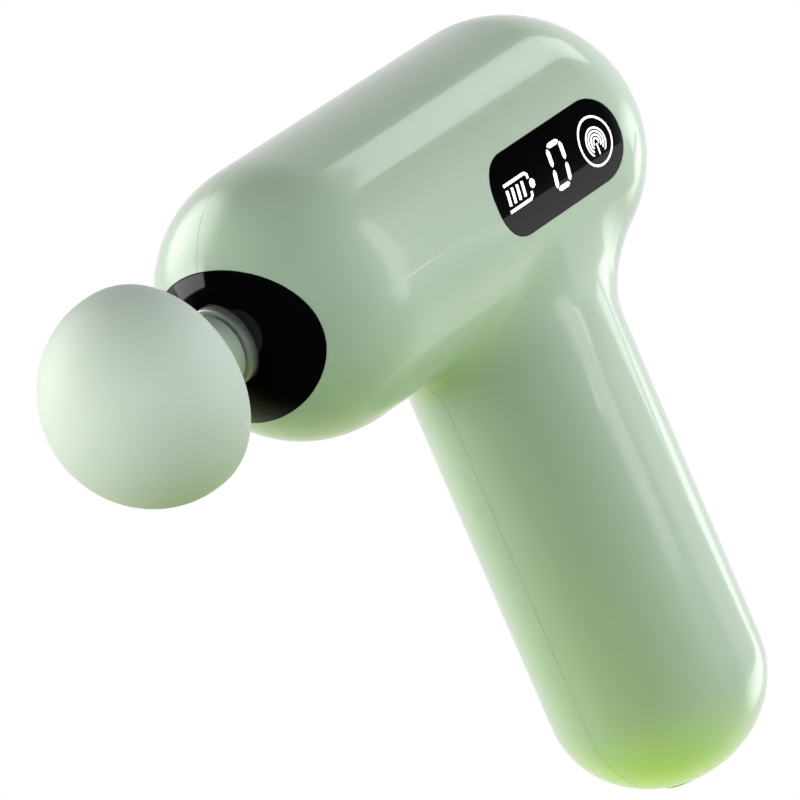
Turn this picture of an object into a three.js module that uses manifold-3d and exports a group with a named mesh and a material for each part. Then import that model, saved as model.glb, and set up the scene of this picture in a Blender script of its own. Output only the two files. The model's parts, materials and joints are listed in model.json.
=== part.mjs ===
// A cordless mini massage gun: a round barrel on a round handle, with a ball-shaped head that a crank drives.
// Millimetres, +Z up. The barrel points along -X and the display is on the -Y side. The origin is the middle of
// the grip, on the handle's axis. A "forward" figure is a distance along -X, and an "above" figure is a height over
// the barrel's axis.
import * as THREE from "three";
import { mergeVertices } from "three/addons/utils/BufferGeometryUtils.js";
import Module from "manifold-3d";

const wasm = await Module();
wasm.setup();

// ---- Driving dimensions -------------------------------------------------------------------------------------------
const AXIS_Z = 70; // barrel axis above the middle of the grip
const WALL = 2; // moulded wall of the housing
const GAP = 0.15; // parting gap on each side of a joint line

const BARREL_R = 25.9;
const FRONT_CAP = { start: 44.9, depth: 24, power: 2.15 }; // start is forward of the handle's axis
const REAR_CAP = { start: 19.2, depth: 25.3, power: 1.95 }; // start is behind the handle's axis
// endZ is the centre of the handle's round end
const HANDLE = { halfDepth: 22.1, halfWidth: 20, endZ: -28.5, endDepth: 19.4, frontFillet: 5, rearFillet: 8 };

const FACE = { halfWidth: 18.75, halfHeight: 14.6, drop: 1.3, hole: 8.1 }; // oval black faceplate, set a little low
const WINDOW = { front: 17, rear: -21.5, bottom: -8.1, top: 7.6, corner: 7.2, thickness: 1.6 };
const TOUCH_FORWARD = -13.8; // middle of the touch key

const THROW = 3.5; // crank radius: the stroke is twice this
const ROD_LENGTH = 36;
const ROD_HALF = 1.9; // half thickness of the connecting rod
const PISTON = { radius: 9.8, cavity: 7.8, rear: 24.5, shoulder: 46, cavityEnd: 45 };
const SPINDLE = { radius: 7.5, bore: 5.5, front: 69.2, boreEnd: 51 };
const HEAD = { middle: 88.7, radius: 19.8, frontDepth: 18.4, backDepth: 7.2, stem: 5.3, neck: 6.8 };

const MOTOR = { baseR: 15, bellR: 16.6, bellInner: 15.4, top: -9.2, bottom: -29.3, shaftR: 2.5, teeth: 9 };
const CELL = { radius: 9.1, offset: 9.2, top: -38.3, length: 65 };
const SCREW = { shank: 1.2, head: 2.2, hole: 1.5, counterbore: 2.45, post: 2.8, sleeve: 3.5 };
const PORT = { halfLength: 7.5, halfWidth: 4, face: -116.9, thickness: 2 };

// Screw posts that join the two halves: forward of the handle's axis, above the barrel's axis, and where the head sits.
const POSTS = [
  { forward: -34, above: 0, seat: 8 },
  { forward: 40, above: 18, seat: 6.5 },
  { forward: 40, above: -18, seat: 6.5 },
  { forward: 0, above: -33.4, seat: 8 },
  { forward: 12, above: -108.6, seat: 6 },
];

// ---- Geometry helpers ---------------------------------------------------------------------------------------------
const AROUND = 32; // facets round the outer shell
const INSIDE = 24; // facets round its inner faces
const ROUND = 20; // round pieces
const FEW = 12; // small round pieces

const AXES = {
  x: new THREE.Matrix4().makeBasis(
    new THREE.Vector3(0, 1, 0), new THREE.Vector3(0, 0, 1), new THREE.Vector3(1, 0, 0)),
  y: new THREE.Matrix4().makeBasis(
    new THREE.Vector3(1, 0, 0), new THREE.Vector3(0, 0, 1), new THREE.Vector3(0, -1, 0)),
  z: new THREE.Matrix4(),
};

// A closed three.js geometry as a manifold-3d solid.
function solid(geometry) {
  const bare = new THREE.BufferGeometry();
  bare.setAttribute("position", geometry.getAttribute("position"));
  if (geometry.index) bare.setIndex(geometry.index);
  const merged = mergeVertices(bare, 1e-4);
  const corners = merged.index.array;
  const kept = [];
  for (let i = 0; i < corners.length; i += 3) {
    const [a, b, c] = corners.slice(i, i + 3);
    if (a !== b && b !== c && c !== a) kept.push(a, b, c);
  }
  return new wasm.Manifold(new wasm.Mesh({
    numProp: 3,
    vertProperties: merged.attributes.position.array,
    triVerts: new Uint32Array(kept),
  }));
}

function join(...solids) {
  return solids.reduce((whole, next) => whole.add(next));
}

function cut(whole, ...tools) {
  return tools.reduce((rest, tool) => rest.subtract(tool), whole);
}

// Turns a profile of [along, radius] points about an axis through centre. The profile starts and ends on the axis or
// closes on itself.
function revolve(profile, axis, centre, segments = ROUND) {
  let area = 0;
  profile.forEach(([a0, r0], i) => {
    const [a1, r1] = profile[(i + 1) % profile.length];
    area += r0 * a1 - r1 * a0;
  });
  const points = profile.map(([along, radius]) => new THREE.Vector2(radius, along));
  if (area < 0) points.reverse();
  const geometry = new THREE.LatheGeometry(points, segments);
  if (axis === "x") geometry.rotateZ(-Math.PI / 2);
  if (axis === "z") geometry.rotateX(Math.PI / 2);
  return solid(geometry.translate(...centre));
}

function cylinder(axis, radius, from, to, centre, segments = ROUND) {
  return revolve([[from, 0], [from, radius], [to, radius], [to, 0]], axis, centre, segments);
}

function ring(axis, outer, inner, from, to, centre, segments = ROUND) {
  const profile = [[from, inner], [from, outer], [to, outer], [to, inner], [from, inner]];
  return revolve(profile, axis, centre, segments);
}

function box([x0, x1], [y0, y1], [z0, z1]) {
  const geometry = new THREE.BoxGeometry(x1 - x0, y1 - y0, z1 - z0);
  return solid(geometry.translate((x0 + x1) / 2, (y0 + y1) / 2, (z0 + z1) / 2));
}

// Extrudes a flat shape along an axis. On x the shape lies in (Y, Z), on y in (X, Z) and on z in (X, Y).
function prism(shape, axis, from, to, curveSegments = 6) {
  const geometry = new THREE.ExtrudeGeometry(shape, { depth: to - from, bevelEnabled: false, curveSegments });
  geometry.applyMatrix4(AXES[axis]);
  const start = axis === "y" ? to : from;
  geometry.translate(axis === "x" ? start : 0, axis === "y" ? start : 0, axis === "z" ? start : 0);
  return solid(geometry);
}

function ovalShape(halfWidth, halfHeight, y = 0) {
  return new THREE.Shape().absellipse(0, y, halfWidth, halfHeight, 0, 2 * Math.PI, false, 0);
}

// A rectangle from (x0, y0) to (x1, y1) with round corners.
function roundedShape(x0, x1, y0, y1, corner) {
  const shape = new THREE.Shape();
  shape.moveTo(x0 + corner, y0);
  shape.absarc(x1 - corner, y0 + corner, corner, -Math.PI / 2, 0, false);
  shape.absarc(x1 - corner, y1 - corner, corner, 0, Math.PI / 2, false);
  shape.absarc(x0 + corner, y1 - corner, corner, Math.PI / 2, Math.PI, false);
  shape.absarc(x0 + corner, y0 + corner, corner, Math.PI, 1.5 * Math.PI, false);
  return shape;
}

// A round wire through points given as [forward, y, above].
function wire(radius, route, steps) {
  const path = new THREE.CatmullRomCurve3(
    route.map(([forward, y, above]) => new THREE.Vector3(-forward, y, AXIS_Z + above)));
  const section = new THREE.Shape().absarc(0, 0, radius, 0, 2 * Math.PI, false);
  return solid(new THREE.ExtrudeGeometry(section, { extrudePath: path, steps, curveSegments: 3 }));
}

// Where a rounded cap's outline runs, from its rim (turn 0) to its pole (turn 1), as [depth, radius] shares.
function capPoint(turn, power) {
  const angle = (turn * Math.PI) / 2;
  return [Math.sin(angle) ** (2 / power), Math.max(Math.cos(angle), 0) ** (2 / power)];
}

// ---- Materials ----------------------------------------------------------------------------------------------------
function material(color, roughness, metalness) {
  return new THREE.MeshStandardMaterial({ color, roughness, metalness });
}

const LOOKS = {
  mint: material(0xb2cdb6, 0.25, 0),
  softMint: material(0xbfd6c3, 0.6, 0),
  gloss: material(0x050506, 0.12, 0),
  aluminium: material(0x8d9190, 0.4, 0.9),
  steel: material(0xb9bcc0, 0.3, 1),
  darkSteel: material(0x4c5054, 0.45, 1),
  copper: material(0xb4672c, 0.4, 1),
  acetal: material(0xe6e4dc, 0.5, 0),
  rubber: material(0x26282a, 0.8, 0),
  board: material(0x14502c, 0.5, 0),
  cellWrap: material(0x2c6fa8, 0.4, 0),
  whitePlastic: material(0xeeeeea, 0.5, 0),
  redWire: material(0xb01c1c, 0.5, 0),
  blackWire: material(0x151515, 0.5, 0),
  blackPlastic: material(0x202224, 0.55, 0),
};

const gun = new THREE.Group();

// Adds a solid to the gun as a named mesh.
function addPart(name, body, look) {
  const made = body.simplify(0.03).getMesh();
  const vertices = new Float32Array(made.numVert * 3);
  for (let i = 0; i < made.numVert; i++) {
    vertices.set(made.vertProperties.subarray(i * made.numProp, i * made.numProp + 3), i * 3);
  }
  const geometry = new THREE.BufferGeometry();
  geometry.setAttribute("position", new THREE.BufferAttribute(vertices, 3));
  geometry.setIndex(new THREE.BufferAttribute(new Uint32Array(made.triVerts), 1));
  geometry.computeVertexNormals();
  const mesh = new THREE.Mesh(geometry, look);
  mesh.name = name;
  gun.add(mesh);
}

const BARREL_AXIS = [0, 0, AXIS_Z];
const up = (above) => AXIS_Z + above;

// ---- Outer form ---------------------------------------------------------------------------------------------------
// The barrel with its two rounded ends, made smaller by inset on every side.
function barrel(inset) {
  const steps = inset < WALL ? 7 : 5;
  const radius = BARREL_R - inset;
  const profile = [];
  for (let i = 0; i <= steps; i++) {
    const [depth, share] = capPoint(1 - i / steps, FRONT_CAP.power);
    profile.push([-(FRONT_CAP.start + depth * (FRONT_CAP.depth - inset)), share * radius]);
  }
  for (let i = 0; i <= steps; i++) {
    const [depth, share] = capPoint(i / steps, REAR_CAP.power);
    profile.push([REAR_CAP.start + depth * (REAR_CAP.depth - inset), share * radius]);
  }
  profile[0][1] = 0;
  profile[profile.length - 1][1] = 0;
  return revolve(profile, "x", BARREL_AXIS, inset < WALL ? AROUND : INSIDE);
}

// How far the handle's section has spread at a height: nothing below the fillet, then a quarter circle.
function spread(z, fillet) {
  const rise = Math.min(Math.max(z - (AXIS_Z - BARREL_R - fillet), 0), 0.94 * fillet);
  return fillet - Math.sqrt(fillet ** 2 - rise ** 2);
}

// The handle, an oval column with a round end. Near the barrel its front and back spread into fillets.
function handle(inset) {
  const steps = 6;
  const halfWidth = HANDLE.halfWidth - inset;
  const profile = [];
  for (let i = 0; i <= steps; i++) {
    const [depth, share] = capPoint(1 - i / steps, 2);
    profile.push([HANDLE.endZ - depth * (HANDLE.endDepth - inset), share * halfWidth]);
  }
  profile[0][1] = 0;
  if (inset === 0) {
    for (const share of [1, 0.6, 0.35, 0.15, 0]) {
      profile.push([AXIS_Z - BARREL_R - share * HANDLE.rearFillet, halfWidth]);
    }
  }
  profile.push([AXIS_Z - 8, halfWidth], [AXIS_Z - 8, 0]);
  const points = profile.map(([z, r]) => new THREE.Vector2(r, z));
  const geometry = new THREE.LatheGeometry(points, inset < WALL ? AROUND : INSIDE).rotateX(Math.PI / 2);
  const corners = geometry.getAttribute("position");
  for (let i = 0; i < corners.count; i++) {
    const [x, z] = [corners.getX(i), corners.getZ(i)];
    const fillet = x > 0 ? HANDLE.rearFillet : HANDLE.frontFillet;
    const reach = HANDLE.halfDepth - inset + (inset === 0 ? spread(z, fillet) : 0);
    corners.setX(i, (x * reach) / halfWidth);
  }
  return solid(geometry);
}

const outerForm = join(barrel(0), handle(0));
const innerForm = join(barrel(WALL), handle(WALL));

// ---- Housing halves -----------------------------------------------------------------------------------------------
const windowShape = (grow) => roundedShape(
  -WINDOW.front - grow, -WINDOW.rear + grow,
  up(WINDOW.bottom - grow), up(WINDOW.top + grow), WINDOW.corner + grow);
const windowPrism = (grow) => prism(windowShape(grow), "y", -30, -10, 6);
const facePrism = (grow, from = -75, to = -50) =>
  prism(ovalShape(FACE.halfWidth + grow, FACE.halfHeight + grow, AXIS_Z - FACE.drop), "x", from, to, 18);
const portShape = (grow) => roundedShape(
  -PORT.halfLength - grow, PORT.halfLength + grow, -PORT.halfWidth - grow, PORT.halfWidth + grow,
  PORT.halfWidth + grow - 0.05);
const portHole = prism(portShape(GAP), "z", up(-121), up(-112), 4);

function postAt({ forward, above }) {
  return [-forward, 0, up(above)];
}

function housingHalf(side) {
  const half = side < 0 ? box([-80, 60], [-40, -GAP], [-60, 110]) : box([-80, 60], [GAP, 40], [-60, 110]);
  let shell = outerForm.subtract(innerForm);
  for (const post of POSTS) {
    const radius = side < 0 ? SCREW.post : SCREW.sleeve;
    shell = shell.add(cylinder("y", radius, -30, 30, postAt(post), 12).intersect(outerForm));
  }
  shell = cut(shell.intersect(half), facePrism(GAP), portHole);
  for (const post of POSTS) {
    const centre = postAt(post);
    const holes = side < 0
      ? cylinder("y", SCREW.shank + 0.1, -9, 1, centre, 10)
      : join(cylinder("y", SCREW.hole, -1, post.seat + 1, centre, 10),
        cylinder("y", SCREW.counterbore, post.seat, 40, centre, FEW));
    shell = shell.subtract(holes);
  }
  return shell;
}

function leftHalf() {
  const ledge = cut(windowPrism(2.2).intersect(barrel(WALL - 0.3)), barrel(WALL + 1.2), windowPrism(-1.2));
  const pocket = windowPrism(GAP).subtract(barrel(WINDOW.thickness + GAP));
  const through = windowPrism(-1.2);
  return cut(housingHalf(-1).add(ledge), pocket, through);
}

addPart("housing_left", leftHalf(), LOOKS.mint);
addPart("housing_right", housingHalf(1), LOOKS.mint);

POSTS.forEach((post, i) => {
  const centre = postAt(post);
  const seat = post.seat + 0.2;
  const head = cylinder("y", SCREW.head, seat, seat + 1.8, centre, FEW);
  const shank = cylinder("y", SCREW.shank, -7, seat + 0.5, centre, 10);
  const slot = box([centre[0] - 1.4, centre[0] + 1.4], [seat + 1, seat + 3], [centre[2] - 0.3, centre[2] + 0.3]);
  const cross = box([centre[0] - 0.3, centre[0] + 0.3], [seat + 1, seat + 3], [centre[2] - 1.4, centre[2] + 1.4]);
  addPart(`housing_screw_${i + 1}`, cut(join(head, shank), slot, cross), LOOKS.darkSteel);
});

// ---- Black faceplate, display window and charging port ------------------------------------------------------------
function faceplate() {
  const cap = facePrism(-GAP).intersect(barrel(0)).subtract(barrel(WALL));
  const skirt = cut(facePrism(-GAP, -64, -61), facePrism(-1.4, -66, -55)).intersect(barrel(0.5));
  return cut(join(cap, skirt), cylinder("x", FACE.hole, -80, -50, BARREL_AXIS));
}

addPart("front_faceplate", faceplate(), LOOKS.gloss);
addPart("display_window", windowPrism(-GAP).intersect(barrel(0)).subtract(barrel(WINDOW.thickness)), LOOKS.gloss);

const slotShape = (halfLength, halfWidth) => roundedShape(
  -halfLength, halfLength, -halfWidth, halfWidth, halfWidth - 0.05);
const portSlot = prism(slotShape(4.75, 1.9), "z", up(-120), up(-105), 4);
addPart("port_plate",
  prism(portShape(0), "z", up(PORT.face), up(PORT.face + PORT.thickness), 4).subtract(portSlot), LOOKS.mint);

function usbPort() {
  const from = up(PORT.face + 0.4);
  const can = prism(slotShape(4.45, 1.6), "z", from, from + 7.3, 4);
  const mouth = prism(slotShape(4.15, 1.3), "z", from - 1, from + 6.3, 4);
  const tongue = box([-3.3, 3.3], [-0.35, 0.35], [from + 1, from + 6.6]);
  return can.subtract(mouth).add(tongue);
}

addPart("usb_port", usbPort(), LOOKS.steel);
addPart("charge_board", box([-8, 8], [1.8, 2.8], [up(-112.5), up(-105.8)]), LOOKS.board);

// ---- Display and touch key ----------------------------------------------------------------------------------------
addPart("display_board",
  prism(roundedShape(-15.2, 18.8, up(-7), up(7), 2), "y", -19.6, -18.4, 4), LOOKS.board);
addPart("display_module", box([-13.5, 8], [-21.6, -19.8], [up(-4.6), up(4.6)]), LOOKS.whitePlastic);
addPart("touch_spring", ring("y", 3.6, 2.8, -22.8, -19.8, [-TOUCH_FORWARD, 0, AXIS_Z], 20), LOOKS.copper);

addPart("display_ribbon", box([5, 21], [-18.2, -17.9], [up(-3.5), up(3.5)]), LOOKS.whitePlastic);

// ---- Drive frame, bushings and dampers ----------------------------------------------------------------------------
const PLATE = { top: -6, bottom: -9 };
const GUIDE = { outer: 12.8, bore: 11, rear: 25, front: 61 };

function driveFrame() {
  const plate = prism(roundedShape(-25, 19, -16, 16, 4), "z", up(PLATE.bottom), up(PLATE.top), 4);
  const wallShape = roundedShape(-15, 15, up(PLATE.bottom), up(13.6), 2);
  const walls = join(prism(wallShape, "x", -25.5, -22, 4), prism(wallShape, "x", 16.5, 19, 4));
  const guide = cylinder("x", GUIDE.outer, -GUIDE.front, -GUIDE.rear, BARREL_AXIS);
  const rear = prism(roundedShape(-9, 9, up(-5), up(9), 3), "x", 15, 21, 4);
  let frame = join(plate, walls, guide);
  frame = cut(frame, rear, cylinder("x", GUIDE.bore, -70, -21, BARREL_AXIS));
  frame = frame.subtract(cylinder("z", 6.1, up(-12), up(0), [0, 0, 0]));
  for (const [x, y] of motorScrewPlaces()) {
    frame = frame.subtract(cylinder("z", 1.3, up(-12), up(0), [x, y, 0], 12));
    frame = frame.subtract(cylinder("z", 2.4, up(-7.6), up(0), [x, y, 0], 16));
  }
  return frame;
}

function motorScrewPlaces() {
  return [0, 1, 2].map((i) => {
    const angle = Math.PI / 3 + (i * 2 * Math.PI) / 3;
    return [11.5 * Math.cos(angle), 11.5 * Math.sin(angle)];
  });
}

addPart("drive_frame", driveFrame(), LOOKS.aluminium);
addPart("rear_bushing", ring("x", 10.8, 10, -44, -26, BARREL_AXIS), LOOKS.acetal);
addPart("front_bushing", ring("x", 10.8, 7.7, -60.8, -54.5, BARREL_AXIS), LOOKS.acetal);
addPart("front_seal", ring("x", 11.5, 7.7, -63.3, -61.2, BARREL_AXIS), LOOKS.rubber);
addPart("front_damper", ring("x", 21.8, 12.95, -51.5, -46.5, BARREL_AXIS), LOOKS.rubber);

[[-16, -14.5], [-16, 14.5], [16, -14.5], [16, 14.5]].forEach(([x, y], i) => {
  const post = cylinder("z", 3, up(-26), up(PLATE.bottom - 0.2), [x, y, 0], 16);
  addPart(`frame_damper_${i + 1}`, post.intersect(barrel(WALL + 0.3)), LOOKS.rubber);
});

addPart("shaft_bearing", ring("z", 5.9, 2.6, up(PLATE.bottom), up(PLATE.top - 0.1), [0, 0, 0]), LOOKS.steel);

// ---- Motor: base, stator and rotor --------------------------------------------------------------------------------
function motorBase() {
  const flange = cylinder("z", MOTOR.baseR, up(-12), up(MOTOR.top), [0, 0, 0]);
  const hub = cylinder("z", 4.2, up(-26), up(-11), [0, 0, 0]);
  let base = cut(join(flange, hub), cylinder("z", 2.7, up(-30), up(0), [0, 0, 0]));
  for (const [x, y] of motorScrewPlaces()) {
    base = base.subtract(cylinder("z", 1.2, up(-13), up(-8), [x, y, 0], 12));
  }
  return base;
}

function tooth(index, halfWidth, reach, from, to) {
  const arm = box([5.5, reach], [-halfWidth, halfWidth], [from, to]);
  return arm.rotate([0, 0, (index * 360) / MOTOR.teeth]);
}

function statorCore() {
  let core = ring("z", 7.2, 4.4, up(-24.5), up(-13.5), [0, 0, 0]);
  for (let i = 0; i < MOTOR.teeth; i++) {
    core = core.add(tooth(i, 1.5, 13.2, up(-24.5), up(-13.5)));
  }
  return core;
}

function statorWindings() {
  let coils = ring("z", 12.6, 7.5, up(-25.6), up(-12.4), [0, 0, 0]);
  for (let i = 0; i < MOTOR.teeth; i++) {
    coils = coils.subtract(tooth(i, 1.7, 14, up(-24.7), up(-13.3)));
  }
  return coils;
}

addPart("motor_base", motorBase(), LOOKS.aluminium);
addPart("stator_core", statorCore(), LOOKS.darkSteel);
addPart("stator_windings", statorWindings(), LOOKS.copper);

motorScrewPlaces().forEach(([x, y], i) => {
  const shank = cylinder("z", 1.1, up(-11.5), up(-6.8), [x, y, 0], 12);
  const head = cylinder("z", 2.1, up(-7.4), up(-6.1), [x, y, 0], 16);
  addPart(`motor_screw_${i + 1}`, join(shank, head), LOOKS.darkSteel);
});

function rotorBell() {
  const floor = up(MOTOR.bottom);
  const shaftHole = MOTOR.shaftR + 0.1;
  const profile = [[floor, shaftHole], [floor, MOTOR.bellR - 1.5], [floor + 1.5, MOTOR.bellR], [up(-13), MOTOR.bellR],
    [up(-13), MOTOR.bellInner], [floor + 1.5, MOTOR.bellInner], [floor + 1.5, 5], [floor + 3, 5],
    [floor + 3, shaftHole], [floor, shaftHole]];
  return revolve(profile, "z", [0, 0, 0]);
}

addPart("rotor_bell", rotorBell(), LOOKS.darkSteel);
addPart("magnet_ring", ring("z", 15.2, 13.7, up(-26), up(-13.6), [0, 0, 0]), LOOKS.steel);
addPart("motor_shaft", cylinder("z", MOTOR.shaftR, up(MOTOR.bottom + 0.2), up(-3.5), [0, 0, 0]), LOOKS.steel);

// ---- Crank and connecting rod -------------------------------------------------------------------------------------
// At rest the crank pin is at the back, so that the plunger is fully in.
const CRANK = { bottom: -5.4, top: -2.2, radius: 9, weightRadius: 12.5, pinR: 2 };
const PIN = [THROW, 0, 0];
const WRIST = [THROW - ROD_LENGTH, 0, 0];

function crankDisc() {
  const disc = cylinder("z", CRANK.radius, up(CRANK.bottom), up(CRANK.top), [0, 0, 0]);
  const wedge = new THREE.Shape();
  wedge.moveTo(0, 0);
  wedge.absarc(0, 0, CRANK.weightRadius, (Math.PI * 2) / 3, (Math.PI * 4) / 3, false);
  const weight = prism(wedge, "z", up(CRANK.bottom), up(CRANK.top), 16);
  const pin = cylinder("z", CRANK.pinR, up(CRANK.bottom + 1), up(3.6), PIN);
  return cut(join(disc, weight, pin), cylinder("z", MOTOR.shaftR + 0.15, up(-8), up(-3.2), [0, 0, 0]));
}

function connectingRod() {
  const bigEnd = cylinder("z", 6.8, up(-ROD_HALF), up(ROD_HALF), PIN);
  const smallEnd = cylinder("z", 3.4, up(-ROD_HALF), up(ROD_HALF), WRIST);
  const shank = box([WRIST[0], PIN[0]], [-2.2, 2.2], [up(-ROD_HALF + 0.2), up(ROD_HALF - 0.2)]);
  return cut(join(bigEnd, smallEnd, shank),
    cylinder("z", 5.2, up(-3), up(3), PIN), cylinder("z", 1.6, up(-3), up(3), WRIST, 16));
}

addPart("crank_disc", crankDisc(), LOOKS.steel);
addPart("crank_clip", ring("z", 3.2, CRANK.pinR + 0.1, up(2.3), up(3.1), PIN), LOOKS.darkSteel);
addPart("connecting_rod", connectingRod(), LOOKS.aluminium);
addPart("crank_bearing", ring("z", 5, CRANK.pinR + 0.15, up(-ROD_HALF), up(ROD_HALF), PIN), LOOKS.steel);
addPart("wrist_pin", cylinder("z", 1.5, up(-5.2), up(5.2), WRIST, 16), LOOKS.steel);

// ---- Plunger ------------------------------------------------------------------------------------------------------
// Hollow at the back for the rod's small end, and bored at the front for the head's stem.
function plunger() {
  const profile = [[-PISTON.cavityEnd, 0], [-PISTON.cavityEnd, PISTON.cavity], [-PISTON.rear, PISTON.cavity],
    [-PISTON.rear, PISTON.radius], [-PISTON.shoulder, PISTON.radius], [-PISTON.shoulder - 1.5, SPINDLE.radius],
    [-SPINDLE.front + 0.5, SPINDLE.radius], [-SPINDLE.front, SPINDLE.radius - 0.5],
    [-SPINDLE.front, SPINDLE.bore + 0.6], [-SPINDLE.front + 0.6, SPINDLE.bore],
    [-SPINDLE.boreEnd, SPINDLE.bore], [-SPINDLE.boreEnd, 0]];
  return revolve(profile, "x", BARREL_AXIS);
}

addPart("plunger", plunger(), LOOKS.aluminium);

// ---- Massage head -------------------------------------------------------------------------------------------------
const CORE = { end: 97, radius: 8, socket: 8.2, neckFrom: 69.8, neckTo: 80.5 };
const GROOVES = [55.5, 65];

function headBall() {
  const profile = [];
  const steps = 8;
  for (let i = 0; i <= steps; i++) {
    const [depth, share] = capPoint(1 - i / steps, 2);
    profile.push([-(HEAD.middle + depth * HEAD.frontDepth), share * HEAD.radius]);
  }
  for (let i = 1; i < 5; i++) {
    const [depth, share] = capPoint(i / 5, 3.4);
    profile.push([-(HEAD.middle - depth * HEAD.backDepth), share * HEAD.radius]);
  }
  profile[0][1] = 0;
  const back = -(HEAD.middle - HEAD.backDepth);
  profile.push([back, CORE.socket], [-CORE.end - 0.3, CORE.socket], [-CORE.end - 0.3, 0]);
  return revolve(profile, "x", BARREL_AXIS, AROUND);
}

function headCore() {
  const profile = [[-CORE.end, 0], [-CORE.end, CORE.radius], [-CORE.neckTo, CORE.radius], [-CORE.neckTo, HEAD.neck],
    [-CORE.neckFrom, HEAD.neck], [-CORE.neckFrom, HEAD.stem]];
  for (const middle of GROOVES.toReversed()) {
    profile.push([-middle - 0.9, HEAD.stem], [-middle - 0.9, HEAD.stem - 0.9], [-middle + 0.9, HEAD.stem - 0.9],
      [-middle + 0.9, HEAD.stem]);
  }
  profile.push([-SPINDLE.boreEnd - 1.2, HEAD.stem], [-SPINDLE.boreEnd - 0.5, HEAD.stem - 0.7],
    [-SPINDLE.boreEnd - 0.5, 0]);
  return revolve(profile, "x", BARREL_AXIS);
}

addPart("head_ball", headBall(), LOOKS.softMint);
addPart("head_core", headCore(), LOOKS.mint);

GROOVES.forEach((middle, i) => {
  const profile = [];
  for (let k = 0; k <= 5; k++) {
    const angle = (k * Math.PI) / 2.5;
    profile.push([-middle + 0.5 * Math.sin(angle), HEAD.stem - 0.36 + 0.48 * Math.cos(angle)]);
  }
  profile[5] = [...profile[0]];
  addPart(`stem_ring_${i + 1}`, revolve(profile, "x", BARREL_AXIS), LOOKS.rubber);
});

// ---- Battery ------------------------------------------------------------------------------------------------------
const CELL_END = CELL.top - CELL.length;

[-1, 1].forEach((side, i) => {
  const centre = [side * CELL.offset, 0, 0];
  const body = cylinder("z", CELL.radius, up(CELL_END), up(CELL.top - 0.8), centre);
  const button = cylinder("z", 3, up(CELL.top - 1), up(CELL.top), centre, FEW);
  addPart(`battery_cell_${i + 1}`, join(body, button), LOOKS.cellWrap);
  const tab = box([centre[0] - 4, centre[0] + 4], [-3.5, 3.5], [up(CELL.top + 0.15), up(CELL.top + 0.45)]);
  addPart(`cell_tab_${i + 1}`, tab, LOOKS.steel);
});

addPart("cell_link",
  box([-13, 13], [-3.5, 3.5], [up(CELL_END - 0.45), up(CELL_END - 0.15)]), LOOKS.steel);

function batteryHolder() {
  const top = up(CELL.top + 1.3);
  const bottom = up(CELL_END - 1.4);
  const outer = box([-17, 17], [-12, 12], [bottom, top]);
  const cells = box([-20, 20], [-9.45, 9.45], [bottom + 0.8, top - 0.7]);
  const windows = join(box([-13, 13], [-20, 20], [up(-96), up(-73)]), box([-13, 13], [-20, 20], [up(-68), up(-46)]));
  return cut(outer, cells, windows).intersect(handle(WALL + 0.3));
}

addPart("battery_holder", batteryHolder(), LOOKS.blackPlastic);

// ---- Main board ---------------------------------------------------------------------------------------------------
const BOARD = { front: 21.2, back: 22.4, radius: 18.5 };

function mainBoard() {
  const disc = cylinder("x", BOARD.radius, BOARD.front, BOARD.back, BARREL_AXIS);
  const chip = box([BOARD.back - 0.2, BOARD.back + 1], [-4, 4], [up(-4), up(4)]);
  const driver = box([BOARD.back - 0.2, BOARD.back + 1.2], [-12, -6], [up(-13), up(-7)]);
  return join(disc, chip, driver);
}

addPart("main_board", mainBoard(), LOOKS.board);
addPart("capacitor", cylinder("x", 4, BOARD.back + 0.2, BOARD.back + 7.5, [0, 8, up(11)], 20), LOOKS.darkSteel);

// ---- Wiring -------------------------------------------------------------------------------------------------------
// Routes are given as [forward, y, above].
[-4, 0, 4].forEach((y, i) => {
  addPart(`motor_lead_${i + 1}`,
    wire(0.6, [[-15.2, y, -10.6], [-17.6, y, -11.4], [-19.7, y, -13.2], [-20.4, y, -15.5]], 8), LOOKS.blackWire);
});

const leadRoute = (y) => [
  [-13, y, -36.1], [-16, y, -35], [-17.9, y, -31], [-18.1, y, -24], [-18.6, y, -19], [-20.2, y, -16.4]];
addPart("battery_lead_red", wire(0.7, leadRoute(2.2), 10), LOOKS.redWire);
addPart("battery_lead_black", wire(0.7, leadRoute(-2.2), 10), LOOKS.blackWire);

addPart("charge_cable",
  wire(0.8, [[-4, 3.9, -107.5], [-4, 8.5, -107.3], [-4, 12.6, -105.8], [-4, 13.6, -101.5], [-4, 13.9, -96],
    [-4, 13.9, -60], [-4, 13.9, -42], [-4.5, 13, -36.6], [-7, 10, -35], [-11, 6.5, -35.8]], 20), LOOKS.blackWire);

export default gun;
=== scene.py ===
"""Looks for a mint-green mini massage gun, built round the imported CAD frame.

Lengths in the shape code are millimetres in the frame of the CAD model and become metres when a mesh
is made. The barrel points along -X, the display is on the -Y side and +Z is up.
"""

import json
import math

import bpy
import numpy as np
from mathutils import Matrix, Vector
from mathutils.bvhtree import BVHTree


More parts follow.
